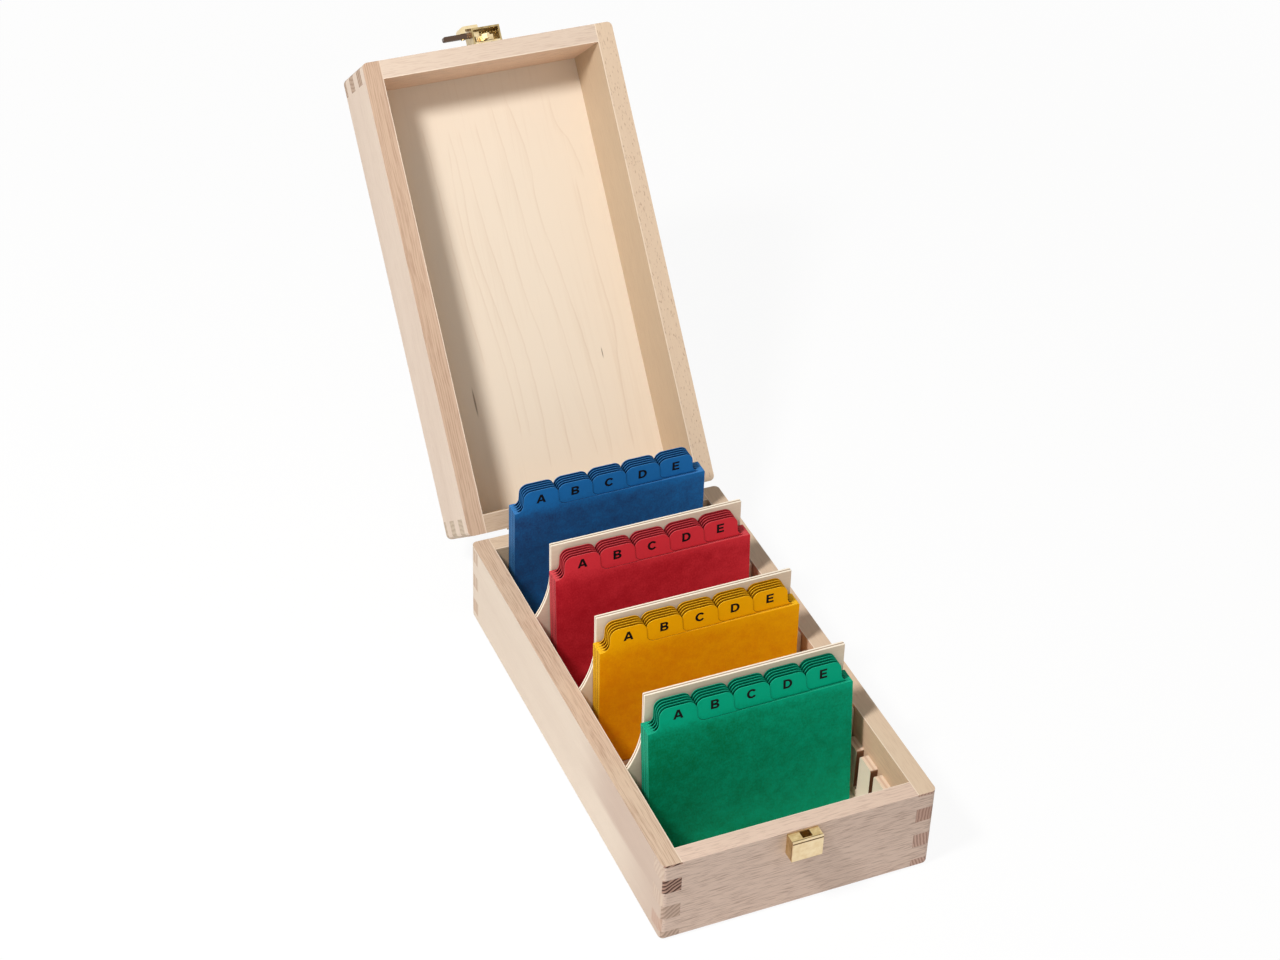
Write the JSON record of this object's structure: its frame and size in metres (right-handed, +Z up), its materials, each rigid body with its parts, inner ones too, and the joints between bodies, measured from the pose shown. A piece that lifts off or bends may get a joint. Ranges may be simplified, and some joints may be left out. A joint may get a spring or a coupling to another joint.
{
  "type": "index card box",
  "caption": "Wooden index card box with finger-jointed corners, a deep hinged lid, a brass latch, loose dividers and tabbed coloured guide cards.",
  "frame": {"origin": "centre of the base's underside, where the box stands on a table", "axes": "+X to the right seen from the front with the latch, +Y to the back with the hinges, +Z up"},
  "size_m": [0.1386, 0.4499, 0.2498],
  "materials": {
    "beech": "sanded and clear oiled",
    "blue_card": "smooth coloured pressboard",
    "brassed_screws": "brassed steel",
    "divider_plywood": "sanded",
    "green_card": "smooth coloured pressboard",
    "hinge_brass": "brassed sheet",
    "latch_brass": "brassed sheet",
    "panel_plywood": "sanded and clear oiled",
    "red_card": "smooth coloured pressboard",
    "slide_brass": "brassed sheet",
    "spring_wire": "brassed wire",
    "strip_plywood": "sanded",
    "yellow_card": "smooth coloured pressboard"
  },
  "bodies": {
    "base": {"base_front": "beech", "base_back": "beech", "base_left": "beech", "base_right": "beech", "base_bottom": "panel_plywood", "slot_strip_left": "strip_plywood", "slot_strip_right": "strip_plywood", "keeper_housing": "latch_brass", "keeper_cover": "latch_brass", "keeper_screws": "brassed_screws", "hinge_left_base_leaf": "hinge_brass", "hinge_right_base_leaf": "hinge_brass", "hinge_left_pin": "brassed_screws", "hinge_right_pin": "brassed_screws", "hinge_base_screws": "brassed_screws"},
    "lid": {"lid_front": "beech", "lid_back": "beech", "lid_left": "beech", "lid_right": "beech", "lid_panel": "panel_plywood", "hinge_left_lid_leaf": "hinge_brass", "hinge_right_lid_leaf": "hinge_brass", "hinge_lid_screws": "brassed_screws", "latch_case": "latch_brass", "latch_back_plate": "latch_brass", "latch_screws": "brassed_screws", "latch_spring": "spring_wire"},
    "latch_slide": {"latch_slide": "slide_brass", "latch_thumb_piece": "latch_brass", "latch_rivet": "brassed_screws"},
    "divider_1": {"divider_1": "divider_plywood"},
    "divider_2": {"divider_2": "divider_plywood"},
    "divider_3": {"divider_3": "divider_plywood"},
    "cards_green": {"green_guides_a": "green_card", "green_guides_b": "green_card", "green_guides_c": "green_card", "green_guides_d": "green_card", "green_guides_e": "green_card"},
    "cards_yellow": {"yellow_guides_a": "yellow_card", "yellow_guides_b": "yellow_card", "yellow_guides_c": "yellow_card", "yellow_guides_d": "yellow_card", "yellow_guides_e": "yellow_card"},
    "cards_red": {"red_guides_a": "red_card", "red_guides_b": "red_card", "red_guides_c": "red_card", "red_guides_d": "red_card", "red_guides_e": "red_card"},
    "cards_blue": {"blue_guides_a": "blue_card", "blue_guides_b": "blue_card", "blue_guides_c": "blue_card", "blue_guides_d": "blue_card", "blue_guides_e": "blue_card"}
  },
  "joints": [
    {"name": "lid_hinge", "type": "hinge", "parent": "base", "child": "lid", "pos_m": [0, 0.1263, 0.0481], "axis": [-1, 0, 0], "range_deg": [-129, 0]},
    {"name": "latch_travel", "type": "slide", "parent": "lid", "child": "latch_slide", "axis": [1, 0, 0], "range_m": [0, 0.0023], "stiffness_N_per_m": 300, "springref_m": -0.002, "deforming": ["latch_spring"]},
    {"name": "divider_1_lift", "type": "slide", "parent": "base", "child": "divider_1", "axis": [0, 0.0314, 0.9995], "range_m": [0, 0.09]},
    {"name": "divider_2_lift", "type": "slide", "parent": "base", "child": "divider_2", "axis": [0, 0.0314, 0.9995], "range_m": [0, 0.09]},
    {"name": "divider_3_lift", "type": "slide", "parent": "base", "child": "divider_3", "axis": [0, 0.0314, 0.9995], "range_m": [0, 0.09]},
    {"name": "cards_green_lift", "type": "slide", "parent": "base", "child": "cards_green", "axis": [0, 0, 1], "range_m": [0, 0.09]},
    {"name": "cards_yellow_lift", "type": "slide", "parent": "base", "child": "cards_yellow", "axis": [0, 0, 1], "range_m": [0, 0.09]},
    {"name": "cards_red_lift", "type": "slide", "parent": "base", "child": "cards_red", "axis": [0, 0, 1], "range_m": [0, 0.09]},
    {"name": "cards_blue_lift", "type": "slide", "parent": "base", "child": "cards_blue", "axis": [0, 0, 1], "range_m": [0, 0.09]}
  ]
}
